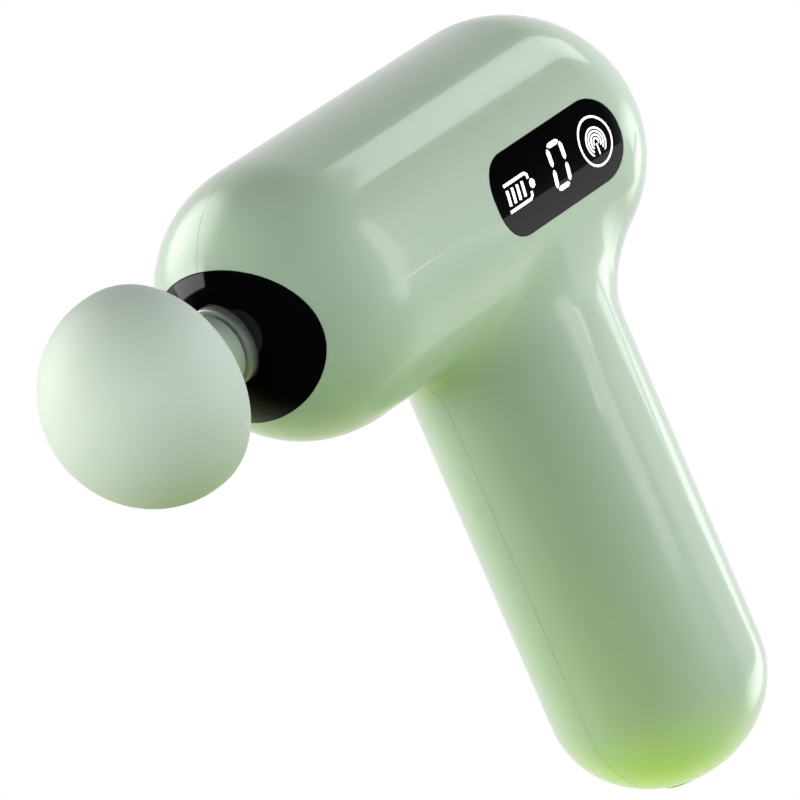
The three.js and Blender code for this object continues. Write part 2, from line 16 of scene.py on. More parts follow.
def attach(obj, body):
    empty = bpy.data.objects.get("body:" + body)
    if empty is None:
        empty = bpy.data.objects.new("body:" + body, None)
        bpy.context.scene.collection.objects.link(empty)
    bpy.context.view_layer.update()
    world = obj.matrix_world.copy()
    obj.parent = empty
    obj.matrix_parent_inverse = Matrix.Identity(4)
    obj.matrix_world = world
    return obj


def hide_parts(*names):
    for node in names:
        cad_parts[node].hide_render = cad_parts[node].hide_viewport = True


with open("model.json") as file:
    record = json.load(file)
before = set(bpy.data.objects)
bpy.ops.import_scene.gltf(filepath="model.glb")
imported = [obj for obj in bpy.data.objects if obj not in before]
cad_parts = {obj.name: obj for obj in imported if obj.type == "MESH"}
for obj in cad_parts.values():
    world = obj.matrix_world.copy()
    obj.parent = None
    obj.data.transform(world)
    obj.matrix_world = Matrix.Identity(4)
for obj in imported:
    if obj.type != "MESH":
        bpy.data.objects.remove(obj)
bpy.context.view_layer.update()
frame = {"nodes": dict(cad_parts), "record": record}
scene = bpy.context.scene

MM = 0.001
AXIS_Z = 70.0  # the barrel's axis
SKIN_R = 25.87
FRONT = {"start": -44.9, "depth": 23.97, "power": 2.15}
REAR = {"start": 19.2, "depth": 25.27, "power": 1.95}
HANDLE_A, HANDLE_B, HANDLE_END, HANDLE_CAP = 22.06, 19.96, -28.5, 19.2
FILLET_REACH = (4.4, 6.5, 1.8)  # at the sides, and how much more behind and in front
FILLET_DROP = (9.0, 5.0, -1.5)
FILLET_PULL = 1.05  # how far the fillet follows its two ends
WALL = 2.0
GAP = 0.035  # between the halves, and round what is let into them

# ---- Camera --------------------------------------------------------------------------------------
RIGHT = Vector((0.5817, -0.7132, -0.3910)).normalized()
BACK = Vector((-0.7039, -0.6823, 0.1973)).normalized()
UP = BACK.cross(RIGHT).normalized()
AIM = Vector((-18.2, 13.7, 39.65)) * MM
CAMERA_DISTANCE, LENS = 1.194, 296.7


def make_camera():
    data = bpy.data.cameras.new("camera")
    data.lens = LENS
    data.sensor_width = 36
    camera = bpy.data.objects.new("camera", data)
    turn = Matrix((RIGHT, UP, BACK)).transposed().to_4x4()
    camera.matrix_world = Matrix.Translation(AIM + BACK * CAMERA_DISTANCE) @ turn
    scene.collection.objects.link(camera)
    scene.camera = camera


make_camera()


# ---- Mesh helpers --------------------------------------------------------------------------------
def new_object(name, points, faces, smooth=True):
    """An object from points in millimetres."""
    mesh = bpy.data.meshes.new(name)
    places = [tuple(np.asarray(p) * MM) for p in points]
    mesh.from_pydata(places, [], [tuple(int(i) for i in f) for f in faces])
    mesh.validate()
    mesh.shade_smooth() if smooth else mesh.shade_flat()
    thing = bpy.data.objects.new(name, mesh)
    scene.collection.objects.link(thing)
    return thing


def delete(thing):
    bpy.data.objects.remove(thing, do_unlink=True)


def boolean(thing, tool, operation):
    """Cuts or joins thing with tool and deletes the tool."""
    step = thing.modifiers.new("cut", "BOOLEAN")
    step.operation = operation
    step.solver = "EXACT"
    step.object = tool
    mesh = bpy.data.meshes.new_from_object(thing.evaluated_get(bpy.context.evaluated_depsgraph_get()))
    thing.modifiers.clear()
    thing.data = mesh
    delete(tool)


def copy_of(thing, name):
    twin = thing.copy()
    twin.data = thing.data.copy()
    twin.name = name
    scene.collection.objects.link(twin)
    return twin


def box(name, low, high):
    x, y, z = zip(low, high)
    points = [(x[i], y[j], z[k]) for i in (0, 1) for j in (0, 1) for k in (0, 1)]
    faces = [(0, 1, 3, 2), (4, 6, 7, 5), (0, 4, 5, 1), (2, 3, 7, 6), (0, 2, 6, 4), (1, 5, 7, 3)]
    return new_object(name, points, faces, smooth=False)


def prism(name, outline, axis, start, end):
    """Extrudes an outline along an axis. On x it lies in (Y, Z), on y in (X, Z) and on z in (X, Y)."""
    def place(u, v, w):
        return {"x": (w, u, v), "y": (u, w, v), "z": (u, v, w)}[axis]

    count = len(outline)
    points = [place(u, v, w) for w in (start, end) for u, v in outline]
    faces = [tuple(range(count)), tuple(range(2 * count - 1, count - 1, -1))]
    faces += [(i, i + count, (i + 1) % count + count, (i + 1) % count) for i in range(count)]
    if axis == "y":
        faces = [f[::-1] for f in faces]
    return new_object(name, points, [f[::-1] for f in faces], smooth=False)


def lathe(name, profile, axis="x", centre=(0, 0, AXIS_Z), segments=128):
    """Turns [along, radius] points about an axis.

    The first and last points are on the axis, or the same point, for a ring.
    """
    closed = profile[0][1] > 1e-6
    rows = profile[:-1] if closed else profile[1:-1]
    points = []
    for along, radius in rows:
        for k in range(segments):
            turn = 2 * math.pi * k / segments
            u, v = radius * math.cos(turn), radius * math.sin(turn)
            offset = (along, u, v) if axis == "x" else (u, v, along)
            points.append(tuple(centre[i] + offset[i] for i in range(3)))
    faces = []
    count = len(rows)
    for r in range(count if closed else count - 1):
        below = ((r + 1) % count) * segments
        for k in range(segments):
            after = (k + 1) % segments
            faces.append((r * segments + k, r * segments + after, below + after, below + k))
    if not closed:
        for along, ring, order in ((profile[0][0], 0, 1), (profile[-1][0], (count - 1) * segments, -1)):
            offset = (along, 0, 0) if axis == "x" else (0, 0, along)
            points.append(tuple(centre[i] + offset[i] for i in range(3)))
            for k in range(segments):
                after = (k + 1) % segments
                faces.append((len(points) - 1, ring + after, ring + k)[::order])
    thing = new_object(name, points, faces)
    outward(thing)
    return thing


def outward(thing):
    """Turns the faces so that the solid's volume is positive."""
    mesh = thing.data
    volume = 0.0
    for face in mesh.polygons:
        first, *others = (mesh.vertices[i].co for i in face.vertices)
        for second, third in zip(others, others[1:]):
            volume += first.dot(second.cross(third))
    if volume < 0:
        mesh.flip_normals()


def rounded(profile, radius, steps=4):
    """The profile with its corners rounded. Its two ends stay."""
    points = [np.array(p, float) for p in profile]
    out = [tuple(points[0])]
    for before, corner, after in zip(points, points[1:], points[2:]):
        back, ahead = before - corner, after - corner
        reach = min(radius, 0.45 * np.linalg.norm(back), 0.45 * np.linalg.norm(ahead))
        start = corner + back / np.linalg.norm(back) * reach
        end = corner + ahead / np.linalg.norm(ahead) * reach
        for k in range(steps + 1):
            t = k / steps
            out.append(tuple((1 - t) ** 2 * start + 2 * t * (1 - t) * corner + t ** 2 * end))
    return out + [tuple(points[-1])]


def sharpen(thing, degrees=35):
    """Smooth shading that stops at edges sharper than an angle."""
    thing.data.set_sharp_from_angle(angle=math.radians(degrees))


def oval(a, b, centre=(0, 0), count=128):
    turns = [2 * math.pi * i / count for i in range(count)]
    return [(centre[0] + a * math.cos(t), centre[1] + b * math.sin(t)) for t in turns]


def pill(u0, u1, v0, v1, corner, steps=16):
    points = []
    for cu, cv, start in ((u1 - corner, v0 + corner, -90), (u1 - corner, v1 - corner, 0),
                          (u0 + corner, v1 - corner, 90), (u0 + corner, v0 + corner, 180)):
        for k in range(steps + 1):
            turn = math.radians(start + 90 * k / steps)
            points.append((cu + corner * math.cos(turn), cv + corner * math.sin(turn)))
    clean = []
    for p in points:
        if not clean or math.dist(p, clean[-1]) > 1e-4:
            clean.append(p)
    return clean


def slot_outline(length, width):
    """A slot with round ends, from its half length and half width."""
    return pill(-length, length, -width, width, width - 0.01)


# ---- Outer skin ----------------------------------------------------------------------------------
def cap_share(x):
    """The barrel's radius at x, as a share of its full radius."""
    x = np.asarray(x, float)
    share = np.ones_like(x)
    for cap, beyond in ((FRONT, FRONT["start"] - x), (REAR, x - REAR["start"])):
        depth = np.clip(beyond / cap["depth"], 0, 1)
        share = np.minimum(share, (1 - depth ** cap["power"]) ** (1 / cap["power"]))
    return share


def barrel_hit(direction):
    """Where rays from the middle of the barrel's handle end leave the barrel."""
    across = np.hypot(direction[..., 1], direction[..., 2])
    low = np.zeros(across.shape)
    high = np.full(across.shape, 90.0)
    for _ in range(50):
        middle = (low + high) / 2
        inside = across * middle < SKIN_R * cap_share(direction[..., 0] * middle) * (
            (direction[..., 0] * middle > FRONT["start"] - FRONT["depth"])
            & (direction[..., 0] * middle < REAR["start"] + REAR["depth"]))
        low = np.where(inside, middle, low)
        high = np.where(inside, high, middle)
    return direction * low[..., None] + np.array([0, 0, AXIS_Z])


def make_skin(columns=240, barrel_rows=84, fillet_rows=18, wall_rows=24, end_rows=26):
    """The whole outer form as one smooth grid: barrel, fillet, handle and round end."""
    turn = 2 * np.pi * np.arange(columns) / columns
    cos, sin = np.cos(turn), np.sin(turn)
    wall = np.stack([HANDLE_A * cos, HANDLE_B * sin], 1)
    normal = np.stack([cos / HANDLE_A, sin / HANDLE_B], 1)
    normal /= np.linalg.norm(normal, axis=1)[:, None]
    rear, front = np.clip(cos, 0, 1) ** 1.5, np.clip(-cos, 0, 1) ** 1.5
    reach, drop = (side + behind * rear + before * front
                   for side, behind, before in (FILLET_REACH, FILLET_DROP))

    def barrel_under(xy):
        radius = SKIN_R * cap_share(xy[:, 0])
        return AXIS_Z - np.sqrt(np.clip(radius ** 2 - xy[:, 1] ** 2, 0, None))

    rim_xy = wall + normal * reach[:, None]
    rim = np.column_stack([rim_xy, barrel_under(rim_xy)])
    foot = np.column_stack([wall, barrel_under(wall) - drop])
    ahead = np.column_stack([normal, np.zeros(columns)])
    step = 0.05
    slopes = []
    for offset in ((step, 0), (0, step)):
        slopes.append((barrel_under(rim_xy + offset) - barrel_under(rim_xy - offset)) / (2 * step))
    surface = np.column_stack([slopes[0], slopes[1], -np.ones(columns)])
    surface /= np.linalg.norm(surface, axis=1)[:, None]
    leave = ahead - surface * (ahead * surface).sum(1)[:, None]
    leave /= np.linalg.norm(leave, axis=1)[:, None]
    span = np.linalg.norm(rim - foot, axis=1)[:, None]

    rows = []
    away = rim - [0, 0, AXIS_Z]
    polar = np.arccos(away[:, 2] / np.linalg.norm(away, axis=1))
    azimuth = np.arctan2(away[:, 1], away[:, 0])
    for j in range(1, barrel_rows):
        tilt = polar * j / barrel_rows
        ray = np.stack([np.sin(tilt) * np.cos(azimuth), np.sin(tilt) * np.sin(azimuth), np.cos(tilt)], -1)
        rows.append(barrel_hit(ray))
    for i in range(fillet_rows + 1):
        t = 1 - i / fillet_rows
        h0, h1 = 2 * t ** 3 - 3 * t ** 2 + 1, -2 * t ** 3 + 3 * t ** 2
        g0, g1 = t ** 3 - 2 * t ** 2 + t, t ** 3 - t ** 2
        pull = FILLET_PULL * span * (g0 * np.array([0, 0, 1.0]) + g1 * leave)
        rows.append(h0 * foot + h1 * rim + pull)
    for i in range(1, wall_rows + 1):
        t = i / wall_rows
        rows.append(np.column_stack([wall, foot[:, 2] * (1 - t) + HANDLE_END * t]))
    for i in range(1, end_rows):
        angle = 0.5 * np.pi * i / end_rows
        level = np.full(columns, HANDLE_END - HANDLE_CAP * math.sin(angle))
        rows.append(np.column_stack([wall * math.cos(angle), level]))
    points = [tuple(p) for row in rows for p in row]
    faces = []
    for r in range(len(rows) - 1):
        for k in range(columns):
            after = (k + 1) % columns
            above, below = r * columns, (r + 1) * columns
            faces.append((above + k, below + k, below + after, above + after))
    top, bottom = len(points), len(points) + 1
    points += [(0, 0, AXIS_Z + SKIN_R), (0, 0, HANDLE_END - HANDLE_CAP)]
    last = (len(rows) - 1) * columns
    for k in range(columns):
        after = (k + 1) % columns
        faces += [(top, k, after), (bottom, last + after, last + k)]
    thing = new_object("skin", points, faces)
    outward(thing)
    return thing


def lathe_form(name, inset, segments=96):
    """The barrel's form, set in on every side."""
    radius = SKIN_R - inset
    profile = []
    for cap, side in ((FRONT, -1), (REAR, 1)):
        steps = [1 - i / 16 for i in range(17)] if side < 0 else [i / 16 for i in range(17)]
        for t in steps:
            angle, power = t * math.pi / 2, 2 / cap["power"]
            depth = math.sin(angle) ** power * (cap["depth"] - inset)
            profile.append([cap["start"] + side * depth, radius * max(math.cos(angle), 0) ** power])
    profile[0][1] = profile[-1][1] = 0
    return lathe(name, profile, segments=segments)


def handle_form(name, inset):
    profile = [[AXIS_Z - 10, 0], [AXIS_Z - 10, 1], [HANDLE_END, 1]]
    for i in range(1, 13):
        angle = 0.5 * math.pi * i / 12
        profile.append([HANDLE_END - (HANDLE_CAP - inset) * math.sin(angle), math.cos(angle)])
    profile[-1][1] = 0
    thing = lathe(name, profile, axis="z", centre=(0, 0, 0), segments=96)
    for vertex in thing.data.vertices:
        vertex.co.x *= HANDLE_A - inset
        vertex.co.y *= HANDLE_B - inset
    return thing


skin = make_skin()


def skin_tree():
    mesh = skin.data
    mesh.calc_loop_triangles()
    corners = [v.co.copy() for v in mesh.vertices]
    normals = [v.normal.copy() for v in mesh.vertices]
    triangles = [tuple(t.vertices) for t in mesh.loop_triangles]
    return BVHTree.FromPolygons(corners, triangles), corners, normals, triangles


TREE = skin_tree()
ON_SKIN, FACING = 0.06, 0.85  # how near the skin, and how far turned with it, a face of the outer form is


def smooth_from_skin(thing):
    """Gives faces on the outer form the uncut form's shading, and cut faces flat shading."""
    tree, corners, normals, triangles = TREE
    mesh = thing.data
    mesh.shade_smooth()
    custom = []
    for face in mesh.polygons:
        _, skin_normal, _, distance = tree.find_nearest(face.center)
        outer = distance < ON_SKIN * MM and skin_normal.dot(face.normal) > FACING
        for index in face.vertices:
            if not outer:
                custom.append(tuple(face.normal))
                continue
            place, _, triangle, _ = tree.find_nearest(mesh.vertices[index].co)
            a, b, c = triangles[triangle]
            weights = barycentric(place, corners[a], corners[b], corners[c])
            blended = normals[a] * weights[0] + normals[b] * weights[1] + normals[c] * weights[2]
            custom.append(tuple(blended.normalized()))
    mesh.normals_split_custom_set(custom)


def barycentric(p, a, b, c):
    v0, v1, v2 = b - a, c - a, p - a
    d00, d01, d11, d20, d21 = v0.dot(v0), v0.dot(v1), v1.dot(v1), v2.dot(v0), v2.dot(v1)
    base = d00 * d11 - d01 * d01
    if abs(base) < 1e-20:
        return 1.0, 0.0, 0.0
    v = (d11 * d20 - d01 * d21) / base
    w = (d00 * d21 - d01 * d20) / base
    return 1 - v - w, v, w


# ---- Materials -----------------------------------------------------------------------------------
def material(name, color, roughness, metallic=0.0, coat=0.0, variation=0.04, grain=900.0, bump=0.02,
             rough_spread=0.04, stretch=(1, 1, 1), subsurface=0.0, emission=0.0, specular=0.5):
    """A procedural surface in the object's own space.

    Its colour and roughness vary slightly, and it has a fine grain.
    """
    made = bpy.data.materials.new(name)
    made.use_nodes = True
    nodes, links = made.node_tree.nodes, made.node_tree.links
    shader = nodes["Principled BSDF"]
    shader.inputs["Metallic"].default_value = metallic
    shader.inputs["Coat Weight"].default_value = coat
    shader.inputs["Coat Roughness"].default_value = 0.04
    shader.inputs["Specular IOR Level"].default_value = specular
    shader.inputs["Subsurface Weight"].default_value = subsurface
    shader.inputs["Subsurface Radius"].default_value = (1.0, 1.0, 0.7)
    shader.inputs["Subsurface Scale"].default_value = 0.002
    place = nodes.new("ShaderNodeTexCoord")
    scale = nodes.new("ShaderNodeMapping")
    scale.inputs["Scale"].default_value = stretch
    links.new(place.outputs["Object"], scale.inputs["Vector"])
    broad = nodes.new("ShaderNodeTexNoise")
    broad.inputs["Scale"].default_value = 35.0
    broad.inputs["Detail"].default_value = 3.0
    links.new(scale.outputs["Vector"], broad.inputs["Vector"])
    ramp = nodes.new("ShaderNodeValToRGB")
    ramp.color_ramp.elements[0].position = 0.3
    ramp.color_ramp.elements[1].position = 0.7
    ramp.color_ramp.elements[0].color = (*[c * (1 - variation) for c in color], 1)
    ramp.color_ramp.elements[1].color = (*[min(c * (1 + variation), 1) for c in color], 1)
    links.new(broad.outputs["Fac"], ramp.inputs["Fac"])
    links.new(ramp.outputs["Color"], shader.inputs["Base Color"])
    fine = nodes.new("ShaderNodeTexNoise")
    fine.inputs["Scale"].default_value = grain
    fine.inputs["Detail"].default_value = 2.0
    links.new(scale.outputs["Vector"], fine.inputs["Vector"])
    spread = nodes.new("ShaderNodeMapRange")
    spread.inputs["To Min"].default_value = max(roughness - rough_spread, 0.01)
    spread.inputs["To Max"].default_value = min(roughness + rough_spread, 1)
    links.new(fine.outputs["Fac"], spread.inputs["Value"])
    links.new(spread.outputs["Result"], shader.inputs["Roughness"])
    if bump:
        relief = nodes.new("ShaderNodeBump")
        relief.inputs["Strength"].default_value = bump
        relief.inputs["Distance"].default_value = 0.00005
        links.new(fine.outputs["Fac"], relief.inputs["Height"])
        links.new(relief.outputs["Normal"], shader.inputs["Normal"])
    if emission:
        shader.inputs["Emission Color"].default_value = (*color, 1)
        shader.inputs["Emission Strength"].default_value = emission
    return made


MINT = (0.42, 0.60, 0.425)
LOOKS = {
    "body_mint": material("mint gloss", MINT, 0.22, coat=0.6, variation=0.015, bump=0.01, subsurface=0.15),
    "neck_mint": material("mint neck", (0.45, 0.60, 0.45), 0.35, coat=0.15, variation=0.02, bump=0.03),
    "soft_mint": material(
        "soft mint", (0.47, 0.60, 0.49), 0.5, variation=0.02, grain=1600, bump=0.12, subsurface=0.2),
    "gloss_black": material(
        "piano black", (0.002, 0.002, 0.0022), 0.06, variation=0.2, bump=0.0, rough_spread=0.02,
        specular=0.3),
    "display_black": material(
        "display glass", (0.002, 0.002, 0.0024), 0.04, variation=0.2, bump=0.0, rough_spread=0.015),
    "plunger_grey": material(
        "blasted aluminium", (0.62, 0.68, 0.64), 0.42, metallic=0.6, variation=0.05, bump=0.1, grain=2500),
    "cast_aluminium": material(
        "cast aluminium", (0.48, 0.49, 0.50), 0.45, metallic=1, variation=0.1, bump=0.25),
    "steel": material(
        "turned steel", (0.60, 0.61, 0.63), 0.25, metallic=1, variation=0.06, bump=0.1, stretch=(1, 1, 6)),
    "dark_steel": material(
        "blackened steel", (0.10, 0.105, 0.11), 0.4, metallic=1, variation=0.15, bump=0.12),
    "copper": material(
        "enamelled copper", (0.62, 0.24, 0.09), 0.3, metallic=1, variation=0.15, bump=0.3, stretch=(1, 1, 8)),
    "acetal": material("acetal", (0.78, 0.77, 0.72), 0.45, variation=0.03, bump=0.05),
    "white_plastic": material("white plastic", (0.80, 0.80, 0.78), 0.45, variation=0.03, bump=0.05),
    "black_plastic": material("black plastic", (0.02, 0.02, 0.022), 0.5, variation=0.15, bump=0.15),
    "black_rubber": material("rubber", (0.018, 0.018, 0.019), 0.75, variation=0.2, bump=0.2),
    "circuit_board": material("solder mask", (0.015, 0.12, 0.045), 0.35, variation=0.35, bump=0.25),
    "cell_wrap": material("cell wrap", (0.05, 0.20, 0.45), 0.3, variation=0.05, bump=0.05),
    "red_wire": material("red wire", (0.45, 0.02, 0.02), 0.45, variation=0.1, bump=0.05),
    "black_wire": material("black wire", (0.02, 0.02, 0.02), 0.45, variation=0.1, bump=0.05),
}
GLOW = material("lit icon", (0.95, 0.98, 0.95), 0.3, variation=0.01, bump=0.0, emission=1.0)


def finish_piece(thing, body, slot, *nodes, look=None):
    thing.data.materials.clear()
    thing.data.materials.append(look or LOOKS[slot])
    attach(thing, body)
    if nodes:
        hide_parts(*nodes)


for entry in frame["record"]["subparts"]:
    node = frame["nodes"][entry["node"]]
    for holder in node.material_slots:
        holder.link = "OBJECT"
        holder.material = LOOKS[entry["material_slot"]]

# ---- Housing, faceplate and display --------------------------------------------------------------
WINDOW = {"x0": -17.0, "x1": 21.5, "bottom": -8.1, "top": 7.6, "corner": 7.2}
FACE_A, FACE_B, FACE_DROP, FACE_HOLE = 18.75, 14.6, 1.3, 8.1
PORT_L, PORT_W, PORT_FACE, PORT_BACK = 7.5, 4.0, -46.9, -44.9
# Each screw: how far forward and above the middle of the barrel it is, and where its head sits.
POSTS = ((-34, 0, 8), (40, 18, 6.5), (40, -18, 6.5), (0, -33.4, 8), (12, -108.6, 6))
POST_R, PILOT_POST_R = 3.5, 2.8
SINK_R, SCREW_HOLE_R, PILOT_R, PILOT_DEPTH = 2.45, 1.5, 1.3, 9
FACE_INSET, WINDOW_INSET, GLASS = 0.12, 0.1, 1.6


def window_prism(grow):
    outline = pill(WINDOW["x0"] - grow, WINDOW["x1"] + grow, AXIS_Z + WINDOW["bottom"] - grow,
                   AXIS_Z + WINDOW["top"] + grow, WINDOW["corner"] + grow)
    return prism("window cutter", outline, "y", -30, -10)


def face_prism(grow):
    outline = oval(FACE_A + grow, FACE_B + grow, (0, AXIS_Z - FACE_DROP))
    return prism("face cutter", outline, "x", -75, -50)


def port_prism(grow):
    return prism("port cutter", slot_outline(PORT_L + grow, PORT_W + grow), "z", -56, -42)


def screw_post(forward, above, radius, side):
    """A post from the parting plane out into the wall."""
    outline = oval(radius, radius, (-forward, AXIS_Z + above), 40)
    post = prism("post", outline, "y", *((GAP, 30) if side > 0 else (-30, -GAP)))
    within = handle_form("within", 1) if above < -26 else lathe_form("within", 1)
    boolean(post, within, "INTERSECT")
    return post


def make_half(name, side):
    half = copy_of(skin, name)
    near, far = sorted((side * GAP, side * 40))
    boolean(half, box("half", (-90, near, -60), (60, far, 110)), "INTERSECT")
    boolean(half, lathe_form("inner barrel", WALL), "DIFFERENCE")
    boolean(half, handle_form("inner handle", WALL), "DIFFERENCE")
    for forward, above, _ in POSTS:
        boolean(half, screw_post(forward, above, POST_R if side > 0 else PILOT_POST_R, side), "UNION")
    boolean(half, face_prism(GAP + 0.03), "DIFFERENCE")
    boolean(half, port_prism(GAP), "DIFFERENCE")
    if side < 0:
        boolean(half, window_prism(GAP), "DIFFERENCE")
    for forward, above, seat in POSTS:
        centre = (-forward, AXIS_Z + above)
        if side > 0:
            cuts = ((SINK_R, 40, seat, 40), (SCREW_HOLE_R, 32, -1, seat + 1))
        else:
            cuts = ((PILOT_R, 32, -PILOT_DEPTH, 1),)
        for radius, count, start, end in cuts:
            tool = prism("screw cut", oval(radius, radius, centre, count), "y", start, end)
            boolean(half, tool, "DIFFERENCE")
    smooth_from_skin(half)
    return half


left = make_half("casing_left", -1)
finish_piece(left, "casing", "body_mint", "housing_left")
right = make_half("casing_right", 1)
finish_piece(right, "casing", "body_mint", "housing_right")

plate = copy_of(skin, "faceplate")
boolean(plate, face_prism(-FACE_INSET), "INTERSECT")
boolean(plate, lathe_form("inner front", WALL), "DIFFERENCE")
boolean(plate, prism("hole", oval(FACE_HOLE, FACE_HOLE, (0, AXIS_Z), 96), "x", -80, -50), "DIFFERENCE")
smooth_from_skin(plate)
finish_piece(plate, "casing", "gloss_black", "front_faceplate")

glass = copy_of(skin, "display_glass")
boolean(glass, window_prism(-WINDOW_INSET), "INTERSECT")
boolean(glass, lathe_form("behind glass", GLASS), "DIFFERENCE")
smooth_from_skin(glass)
finish_piece(glass, "casing", "display_black", "display_window")
delete(skin)


# ---- Lit icons on the display --------------------------------------------------------------------
SLANT = 0.17  # how far the battery and the digit lean, for each millimetre of height
ICON_SUNK, ICON_PROUD = 0.12, 0.022  # how far a stroke goes into the glass and stands out of it


def stroke(points, width, pointed=0.0, slant=0.0):
    """A strip along points in (x, above), bent to the barrel. Its ends taper over pointed millimetres."""
    points = [(x + slant * z, z) for x, z in points]
    dense = []
    for (x0, z0), (x1, z1) in zip(points, points[1:]):
        count = max(int(math.dist((x0, z0), (x1, z1)) / 0.2), 1)
        dense += [(x0 + (x1 - x0) * k / count, z0 + (z1 - z0) * k / count) for k in range(count)]
    dense.append(points[-1])
    total = sum(math.dist(a, b) for a, b in zip(dense, dense[1:]))
    vertices, faces, gone = [], [], 0.0
    for i, (x, z) in enumerate(dense):
        if i:
            gone += math.dist(dense[i - 1], (x, z))
        ahead = np.array(dense[min(i + 1, len(dense) - 1)]) - np.array(dense[max(i - 1, 0)])
        ahead = ahead / np.linalg.norm(ahead)
        half = width / 2
        if pointed:
            half *= min(1.0, 0.25 + gone / pointed, 0.25 + (total - gone) / pointed)
        for radius in (SKIN_R - ICON_SUNK, SKIN_R + ICON_PROUD):
            for sign in (-1, 1):
                u, v = x - sign * ahead[1] * half, z + sign * ahead[0] * half
                vertices.append((u, -math.sqrt(radius ** 2 - v ** 2), AXIS_Z + v))
        if i:
            a, b = 4 * (i - 1), 4 * i
            faces += [(a, a + 1, b + 1, b), (a + 2, b + 2, b + 3, a + 3), (a, b, b + 2, a + 2),
                      (a + 1, a + 3, b + 3, b + 1)]
    end = len(vertices) - 4
    faces += [(0, 2, 3, 1), (end, end + 1, end + 3, end + 2)]
    return vertices, faces


def arc(centre, radius, start, end, count=40):
    turns = [math.radians(start + (end - start) * k / count) for k in range(count + 1)]
    return [(centre[0] + radius * math.cos(t), centre[1] + radius * math.sin(t)) for t in turns]


def icon(name, strokes):
    vertices, faces = [], []
    for more_vertices, more_faces in strokes:
        faces += [tuple(i + len(vertices) for i in f) for f in more_faces]
        vertices += more_vertices
    thing = new_object(name, vertices, faces, smooth=False)
    finish_piece(thing, "casing", "white_plastic", look=GLOW)


def battery_icon(x, z):
    strokes = []
    for side in (-1, 1):
        edge = [(x - 3.7, z + side * 2.35), (x + 2.6, z + side * 2.35), (x + 3.2, z + side * 1.9),
                (x + 3.2, z + side * 1.15)]
        strokes.append(stroke(edge, 0.58, slant=SLANT))
    strokes.append(stroke([(x + 3.95, z - 0.85), (x + 3.95, z + 0.85)], 1.4, pointed=0.5, slant=SLANT))
    for i in range(4):
        across = x - 3.2 + i * 1.5
        strokes.append(stroke([(across, z - 1.4), (across, z + 1.4)], 0.7, slant=SLANT))
    icon("icon_battery", strokes)


def digit_zero(x, z, half_width=1.95, half_height=3.9):
    strokes = []
    for side in (-1, 1):
        level, reach = z + side * half_height, half_width - 0.3
        strokes.append(stroke([(x - reach, level), (x + reach, level)], 0.95, 0.7, SLANT))
        for low, high in ((-half_height + 0.35, -0.3), (0.3, half_height - 0.35)):
            across = x + side * half_width
            strokes.append(stroke([(across, z + low), (across, z + high)], 0.95, 0.7, SLANT))
    icon("icon_digit", strokes)


def touch_icon(x, z):
    strokes = [stroke(arc((x, z), 4.5, 0, 360, 96), 0.42)]
    for i, radius in enumerate((0.7, 1.35, 2.0, 2.65)):
        strokes.append(stroke(arc((x, z - 0.2), radius, -42 - 4 * i, 222 + 4 * i, 40), 0.35, pointed=0.3))
    strokes.append(stroke([(x, z - 0.4), (x, z - 2.6)], 0.35, pointed=0.3))
    icon("icon_touch", strokes)


battery_icon(-10.0, -0.1)
digit_zero(2.55, -0.1)
touch_icon(13.9, -0.2)

# ---- Plunger, head and port ----------------------------------------------------------------------
FRONT_END, BORE_END, PLUNGER_BACK, SKIRT_FRONT = -69.2, -51, -24.5, -46
SPINDLE_R, BORE_R, SKIRT_R, HOLLOW_R = 7.5, 5.5, 9.8, 7.8
CHAMFER = 0.6
plunger = lathe("plunger_fine", rounded([
    [-45, 0], [-45, HOLLOW_R], [PLUNGER_BACK, HOLLOW_R], [PLUNGER_BACK, SKIRT_R], [SKIRT_FRONT, SKIRT_R],
    [SKIRT_FRONT - 1.5, SPINDLE_R], [FRONT_END, SPINDLE_R], [FRONT_END, BORE_R + CHAMFER],
    [FRONT_END + CHAMFER, BORE_R], [BORE_END, BORE_R], [BORE_END, 0]], 0.35))
sharpen(plunger)
finish_piece(plunger, "plunger", "plunger_grey", "plunger")


BALL_MIDDLE, BALL_R, BALL_FRONT, BALL_BACK = -88.7, 19.8, 18.4, 7.2
BALL_FRONT_POWER, BALL_BACK_POWER = 1.95, 3.4
SOCKET_END, SOCKET_R = -97.3, 8.2


def ball_profile():
    """A full round front, a flatter back, and the socket that the neck is moulded into."""
    profile = []
    for i in range(49):
        angle, power = (1 - i / 48) * math.pi / 2, 2 / BALL_FRONT_POWER
        along = BALL_MIDDLE - BALL_FRONT * math.sin(angle) ** power
        profile.append([along, BALL_R * max(math.cos(angle), 0) ** power])
    for i in range(1, 40):
        angle, power = i / 42 * math.pi / 2, 2 / BALL_BACK_POWER
        along = BALL_MIDDLE + BALL_BACK * math.sin(angle) ** power
        profile.append([along, BALL_R * math.cos(angle) ** power])
    profile[0][1] = 0
    back = BALL_MIDDLE + BALL_BACK
    return profile + [[back, 8.6], [back - 0.3, 8.25], [SOCKET_END, SOCKET_R], [SOCKET_END, 0]]


ball = lathe("head_ball_fine", ball_profile(), segments=160)
sharpen(ball)
finish_piece(ball, "head", "soft_mint", "head_ball")
ball.visible_glossy = False  # so that the faceplate and the plunger don't mirror it

